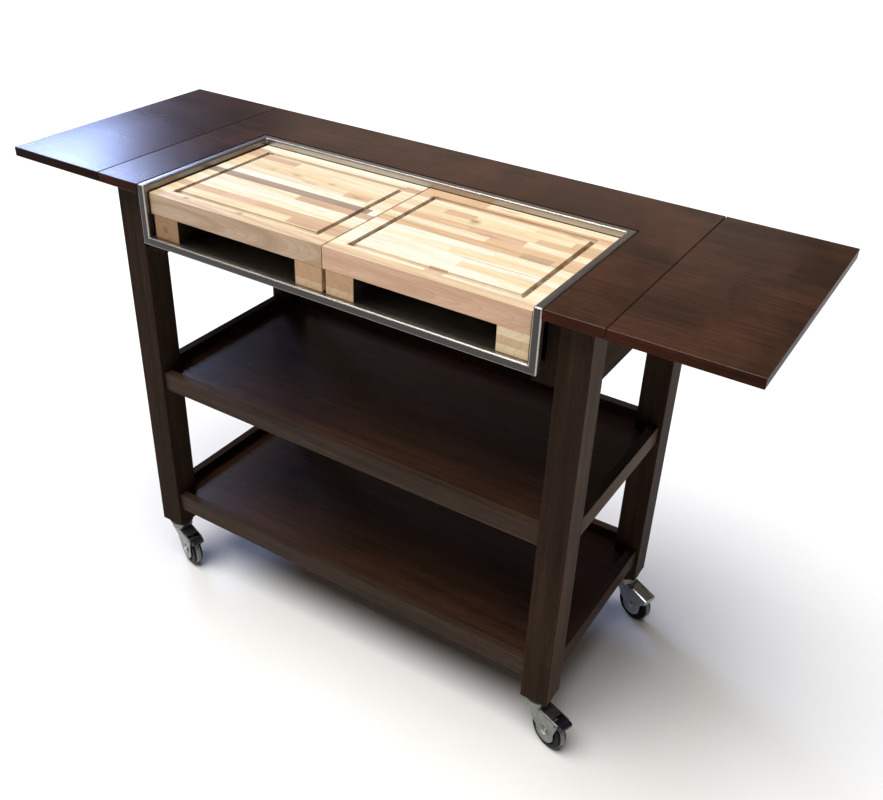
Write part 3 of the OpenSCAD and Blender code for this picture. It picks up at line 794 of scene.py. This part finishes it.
def makeScrewTree(shares):
    tree = bpy.data.node_groups.new("panHeadScrews", "GeometryNodeTree")
    sockets = {"Geometry": "NodeSocketGeometry", "Head Radius": "NodeSocketFloat",
               "Head Height": "NodeSocketFloat", "Recess Width": "NodeSocketFloat", "Seed": "NodeSocketInt",
               "Material": "NodeSocketMaterial"}
    for name, kind in sockets.items():
        tree.interface.new_socket(name, in_out="INPUT", socket_type=kind)
    tree.interface.new_socket("Geometry", in_out="OUTPUT", socket_type="NodeSocketGeometry")
    given = tree.nodes.new("NodeGroupInput").outputs
    radius, height, recess = given["Head Radius"], given["Head Height"], given["Recess Width"]
    rimHeight = times(tree, height, shares["rimHeight"])
    crownHeight = maths(tree, "SUBTRACT", height, rimHeight)
    crownRadius = times(tree, radius, shares["crownRadius"])
    flatRadius = times(tree, radius, shares["flatRadius"])
    rim = addNode(tree, "GeometryNodeMeshCone", {"Vertices": screwSides, "Radius Top": crownRadius,
                                                 "Radius Bottom": radius, "Depth": rimHeight}).outputs["Mesh"]
    crown = addNode(tree, "GeometryNodeMeshCone", {"Vertices": screwSides, "Radius Top": flatRadius,
                                                   "Radius Bottom": crownRadius,
                                                   "Depth": crownHeight}).outputs["Mesh"]
    lift = addNode(tree, "ShaderNodeCombineXYZ", {"Z": rimHeight}).outputs[0]
    crown = addNode(tree, "GeometryNodeTransform", {"Geometry": crown, "Translation": lift}).outputs[0]
    head = addNode(tree, "GeometryNodeMeshBoolean", operation="UNION")
    tree.links.new(rim, head.inputs["Mesh 2"])
    tree.links.new(crown, head.inputs["Mesh 2"])
    arm = times(tree, radius, shares["recess"])
    deep = times(tree, height, shares["recess"])
    up = addNode(tree, "ShaderNodeCombineXYZ", {"Z": height}).outputs[0]
    crossed = addNode(tree, "GeometryNodeMeshBoolean", {"Mesh 1": head.outputs["Mesh"]},
                      operation="DIFFERENCE")
    for long, wide in ((arm, recess), (recess, arm)):
        size = addNode(tree, "ShaderNodeCombineXYZ", {"X": long, "Y": wide, "Z": deep}).outputs[0]
        box = addNode(tree, "GeometryNodeMeshCube", {"Size": size}).outputs["Mesh"]
        slot = addNode(tree, "GeometryNodeTransform", {"Geometry": box, "Translation": up}).outputs[0]
        tree.links.new(slot, crossed.inputs["Mesh 2"])
    points = addNode(tree, "GeometryNodeMeshToPoints", {"Mesh": given["Geometry"]}).outputs[0]
    turn = addNode(tree, "FunctionNodeRandomValue", {"Seed": given["Seed"]}, data_type="FLOAT_VECTOR")
    turn.inputs["Min"].default_value = (math.pi, 0, 0)
    turn.inputs["Max"].default_value = (math.pi, 0, math.pi)
    placed = addNode(tree, "GeometryNodeInstanceOnPoints", {"Points": points,
                                                            "Instance": crossed.outputs["Mesh"],
                                                            "Rotation": turn.outputs["Value"]}).outputs[0]
    real = addNode(tree, "GeometryNodeRealizeInstances", {"Geometry": placed}).outputs[0]
    painted = addNode(tree, "GeometryNodeSetMaterial", {"Geometry": real, "Material": given["Material"]})
    tree.links.new(painted.outputs[0], tree.nodes.new("NodeGroupOutput").inputs["Geometry"])
    return tree


def screwField(tree, name, body, values=screwSet):
    places = bpy.data.meshes.new(name + "_places")
    places.from_pydata([(x, y, plateFoot) for x, y in screwPlaces[body]], [], [])
    field = bpy.data.objects.new(name, places)
    scene.collection.objects.link(field)
    screws = field.modifiers.new("screws", "NODES")
    screws.node_group = tree
    for item in tree.interface.items_tree:
        if item.in_out == "INPUT" and item.name in values:
            screws[item.identifier] = values[item.name]
        if item.name == "Material":
            screws[item.identifier] = rivetZinc
    bpy.context.view_layer.update()
    mesh = plainMesh(field, name)
    field.modifiers.clear()
    field.data = mesh
    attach(field, body)


screwTree = makeScrewTree(screwShares)
screwField(screwTree, "top_hinge_screws", "root")
screwField(screwTree, "left_leaf_screws", "left_leaf_body")
screwField(screwTree, "right_leaf_screws", "right_leaf_body")
print("screws done")


# Boards: staves cut out of the slab's own shape, from the rear edge to the front, each up to its end in mm
staveSet = {
    "left_board_slab": [
        [("pale", 382)],
        [("rose", 29), ("cream", 350), ("rose", 382)],
        [("rose", 122), ("cream", 382)],
        [("straw", 215), ("cream", 382)],
        [("straw", 145), ("straw", 382)],
        [("cream", 280), ("tan", 335), ("cream", 382)],
        [("pale", 335), ("cream", 382)],
        [("umber", 365), ("pale", 382)],
        [("cream", 223), ("rose", 382)],
        [("pale", 305), ("pale", 382)],
        [("cream", 382)],
        [("tan", 109), ("rose", 187), ("tan", 382)],
        [("straw", 272), ("rose", 382)],
        [("cream", 71), ("straw", 382)],
        [("sand", 382)],
    ],
    "right_board_slab": [
        [("tan", 132), ("cream", 382)],
        [("tan", 62), ("tan", 382)],
        [("cream", 252), ("straw", 382)],
        [("straw", 82), ("tan", 142), ("straw", 329), ("tan", 382)],
        [("cream", 42), ("straw", 272), ("tan", 382)],
        [("tan", 152), ("rose", 262), ("cream", 382)],
        [("cream", 202), ("tan", 382)],
        [("tan", 277), ("drab", 332), ("tan", 382)],
        [("pale", 242), ("cream", 382)],
        [("cream", 172), ("straw", 382)],
        [("pale", 382)],
        [("pale", 212), ("straw", 382)],
        [("pale", 302), ("cream", 382)],
        [("cream", 180), ("beige", 214), ("cream", 382)],
        [("sand", 382)],
    ],
}
# The front staves are flat sawn and show long arches: their heart is near the middle, just before the face
frontTint = {"left_board_slab": (0.76, 0.72, 0.74), "right_board_slab": (0.96, 0.81, 0.83)}
frontLean = {"left_board_slab": 0.13, "right_board_slab": 0.08}
frontHeart = {"along": -0.55, "before": 0.018, "below": 0.004}
# how far apart the staves are at a joint, and how far the cutting blocks reach past the slab, in metres
jointGap = 0.00005
overreach = 0.01


def addBlock(work, low, high):
    made = bmesh.ops.create_cube(work, size=1)["verts"]
    for vert in made:
        vert.co = Vector((low[i] + (high[i] - low[i]) * (vert.co[i] + 0.5) for i in range(3)))


# Juice groove: its least and greatest depth and the depth that is darkest, in metres, the least slope of its
# faces, and the darkness of its runs at the sides and of those along the board; the darkening is partly juice
# stain and partly painted shade in the recess
grooveSet = {"least": 0.0001, "most": 0.006, "darkest": 0.0035, "slope": 0.05, "side": 1.0, "along": 0.5}
# Gap between the runners: how far in from the outer faces it starts, in metres, and the strength of its
# painted shade
gapSet = {"inset": 0.005, "darkness": 1.6}
facing = 0.9  # a face with this much of its normal along an axis is turned to that axis


def grooveDepth(face, low, high, values=grooveSet):
    # how deep a face lies in the juice groove, from 0 to 1, as the strength of its stain and painted shade
    depth = high.z - face.center.z
    sloped = max(abs(face.normal.z), abs(face.normal.x * face.normal.y)) > values["slope"]
    if not (sloped and values["least"] < depth < values["most"]):
        return 0.0
    strength = values["side"] if abs(face.normal.x) > abs(face.normal.y) else values["along"]
    return strength * min(1.0, depth / values["darkest"])


def innerSide(face, low, high, values=gapSet):
    # painted shade on the runners' faces turned to the dark gap between them
    inside = low.x + values["inset"] < face.center.x < high.x - values["inset"]
    return values["darkness"] if inside and abs(face.normal.x) > facing else 0.0


def buildStaves(name, node, blocks, material, body, darkness):
    # blocks: low corner, high corner, tone, heart, lean
    # darkness: how dark a face is made, by stain and painted shade in the juice groove and by painted shade
    # in the runners' gap; the slab keeps its outline and is parted at the joints
    work = bmesh.new()
    for block in blocks:
        addBlock(work, *block[:2])
    cutterMesh = bpy.data.meshes.new(name + "_blocks")
    work.to_mesh(cutterMesh)
    work.free()
    mesh = cutAway(mergedCopy(node), cutterMesh, "INTERSECT")
    mesh.name = name
    slab = bpy.data.objects.new(name, mesh)
    scene.collection.objects.link(slab)
    kinds = {"staveTone": "FLOAT_COLOR", "staveHeart": "FLOAT_VECTOR", "stainAndShade": "FLOAT",
             "staveLean": "FLOAT"}
    for key, kind in kinds.items():
        mesh.attributes.new(key, kind, "FACE")
    toneData, heartData, stainAndShadeData, leanData = (mesh.attributes[key].data for key in kinds)
    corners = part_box(node)
    for face in mesh.polygons:
        centre = face.center
        stainAndShadeData[face.index].value = darkness(face, *corners)
        for low, high, tone, heart, lean in blocks:
            if all(low[i] - jointGap <= centre[i] <= high[i] + jointGap for i in range(3)):
                tint = frontTint.get(node, (1, 1, 1)) if face.normal.y < -facing else (1, 1, 1)
                toneData[face.index].color = (*(c * t for c, t in zip(tone, tint)), 1)
                heartData[face.index].vector = heart
                leanData[face.index].value = lean
                break
    mesh.materials.clear()
    mesh.materials.append(material)
    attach(slab, body)
    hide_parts(node)


def slabBlocks(node, seed):
    draw = random.Random(seed)
    low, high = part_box(node)
    rows = staveSet[node]
    depth = (high.y - low.y) / len(rows)
    blocks = []
    for index, row in enumerate(rows):
        yTop = high.y - index * depth - (jointGap / 2 if index else -overreach)
        yLow = high.y - (index + 1) * depth + (jointGap / 2 if index < len(rows) - 1 else -overreach)
        start = -1000 * overreach
        for place, (tone, end) in enumerate(row):
            last = place == len(row) - 1
            x0 = low.x + start / 1000 + (jointGap / 2 if place else 0)
            x1 = low.x + end / 1000 + (overreach if last else -jointGap / 2)
            shade = 1 + draw.uniform(-0.06, 0.05)
            colour = tuple(min(1.0, c * shade) for c in mapleSet[tone])
            angle = draw.uniform(0, 2 * math.pi)
            reach = draw.uniform(0.02, 0.10)
            heart = (draw.uniform(0, 3), reach * math.cos(angle) - (yTop + yLow) / 2,
                     reach * math.sin(angle) - (low.z + high.z) / 2)
            lean = draw.uniform(0.02, 0.08)
            if index == len(rows) - 1:
                heart = (frontHeart["along"] * (x0 + x1), frontHeart["before"] - low.y,
                         frontHeart["below"] - (low.z + high.z) / 2)
                lean = frontLean[node]
            blocks.append(((x0, yLow, low.z - overreach), (x1, yTop, high.z + overreach), colour, heart,
                           lean))
            start = end
    return blocks


# Runners: the left and the right one of each board, three strips from the foot up
runnerSet = {
    "left_board_runners": [("honey", "honey", "honey"), ("tan", "amber", "amber")],
    "right_board_runners": [("tan", "amber", "amber"), ("straw", "tan", "straw")],
}
runnerLean = 0.04
runnerReach = 0.02  # how near to the middle the cutting blocks come, in metres


def runnerBlocks(node, seed):
    draw = random.Random(seed)
    low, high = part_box(node)
    middle = (low.x + high.x) / 2
    blocks = []
    sides = ((low.x - overreach, middle - runnerReach), (middle + runnerReach, high.x + overreach))
    for (x0, x1), tones in zip(sides, runnerSet[node]):
        depth = (high.z - low.z) / len(tones)
        for layer, tone in enumerate(tones):
            z0 = low.z + layer * depth + (jointGap / 2 if layer else -overreach)
            z1 = low.z + (layer + 1) * depth + (-jointGap / 2 if layer < len(tones) - 1 else overreach)
            angle = draw.uniform(0.3, 2.8)
            reach = draw.uniform(0.03, 0.09)
            heart = (reach * math.cos(angle) - (x0 + x1) / 2, draw.uniform(0, 3),
                     reach * math.sin(angle) - z0)
            blocks.append(((x0, low.y - overreach, z0), (x1, high.y + overreach, z1), mapleSet[tone], heart,
                           runnerLean))
    return blocks


slabWood = boardWood("boardStaves", "x", mapleSet["groove"])
runnerWood = boardWood("runnerStrips", "y", mapleSet["shadow"])
for side, seed in (("left", 11), ("right", 23)):
    board = side + "_board"
    slab, runners = board + "_slab", board + "_runners"
    buildStaves(board + "_staves", slab, slabBlocks(slab, seed), slabWood, board, grooveDepth)
    buildStaves(side + "_runner_strips", runners, runnerBlocks(runners, seed + 1), runnerWood, board,
                innerSide)
print("boards parted into staves")


# Pale floor, in place of the photo's white ground
floorSet = {
    "half": 20.0,
    "mottle": 3.0,
    "low": (0.80, 0.80, 0.795),
    "high": (0.84, 0.84, 0.838),
    "roughness": 0.85,
    "gloss": 0.2,
}


def makeFloor(values):
    half = values["half"]
    corners = [(-half, -half, 0), (half, -half, 0), (half, half, 0), (-half, half, 0)]
    mesh = bpy.data.meshes.new("studioFloor")
    mesh.from_pydata(corners, [], [(0, 1, 2, 3)])
    floor = bpy.data.objects.new("studioFloor", mesh)
    scene.collection.objects.link(floor)
    material, tree, coords = newMaterial("paleFloor")
    tint = blendColours(tree, noise(tree, coords, values["mottle"]), values["low"], values["high"])
    closeMaterial(tree, {"Base Color": tint, "Roughness": values["roughness"],
                         "Specular IOR Level": values["gloss"]})
    mesh.materials.append(material)


# One wide soft sun, a cool window far behind on the left, a dim wall behind and a faint warm air
lightSet = {
    "window": {"place": (-5.22, 2.80, 3.45), "aim": (-0.6, -0.1, 0.9), "size": (1.5, 1.5), "power": 150,
               "tint": (0.44, 0.57, 1)},
    "backWall": {"place": (-2.6, 6.0, 2.9), "aim": (0, 0, 0.9), "size": (4.5, 1.6), "power": 9,
                 "tint": (1, 0.80, 0.66)},
}
sunSet = {"from": (-0.20, -0.28, 1.35), "strength": 4.1, "spread": 50, "tint": (1, 0.985, 0.955)}
airSet = {"colour": (1.0, 0.86, 0.74), "strength": 0.07, "beyond": (1.0, 1.0, 1.0), "beyondStrength": 1.0}


def makeLights(values, sun, air):
    for name, light in values.items():
        data = bpy.data.lights.new(name, "AREA")
        data.shape = "RECTANGLE"
        data.size, data.size_y = light["size"]
        data.energy = light["power"]
        data.color = light["tint"]
        lamp = bpy.data.objects.new(name, data)
        lamp.location = light["place"]
        direction = Vector(light["aim"]) - Vector(light["place"])
        lamp.rotation_euler = direction.to_track_quat("-Z", "Y").to_euler()
        scene.collection.objects.link(lamp)
    data = bpy.data.lights.new("softSun", "SUN")
    data.energy = sun["strength"]
    data.angle = math.radians(sun["spread"])
    data.color = sun["tint"]
    lamp = bpy.data.objects.new("softSun", data)
    lamp.rotation_euler = (-Vector(sun["from"])).to_track_quat("-Z", "Y").to_euler()
    scene.collection.objects.link(lamp)
    world = bpy.data.worlds.new("studioAir")
    world.use_nodes = True
    tree = world.node_tree
    dim = tree.nodes["Background"]
    dim.inputs["Color"].default_value = (*air["colour"], 1)
    dim.inputs["Strength"].default_value = air["strength"]
    # the view past the floor's edge is as pale as the floor
    pale = addNode(tree, "ShaderNodeBackground", {"Color": (*air["beyond"], 1),
                                                  "Strength": air["beyondStrength"]}).outputs[0]
    seen = addNode(tree, "ShaderNodeLightPath").outputs["Is Camera Ray"]
    mixed = addNode(tree, "ShaderNodeMixShader", {0: seen, 1: dim.outputs[0], 2: pale}).outputs[0]
    tree.links.new(mixed, tree.nodes["World Output"].inputs["Surface"])
    scene.world = world


makeFloor(floorSet)
makeLights(lightSet, sunSet, airSet)
scene.view_settings.view_transform = "Standard"

print("scene ready")
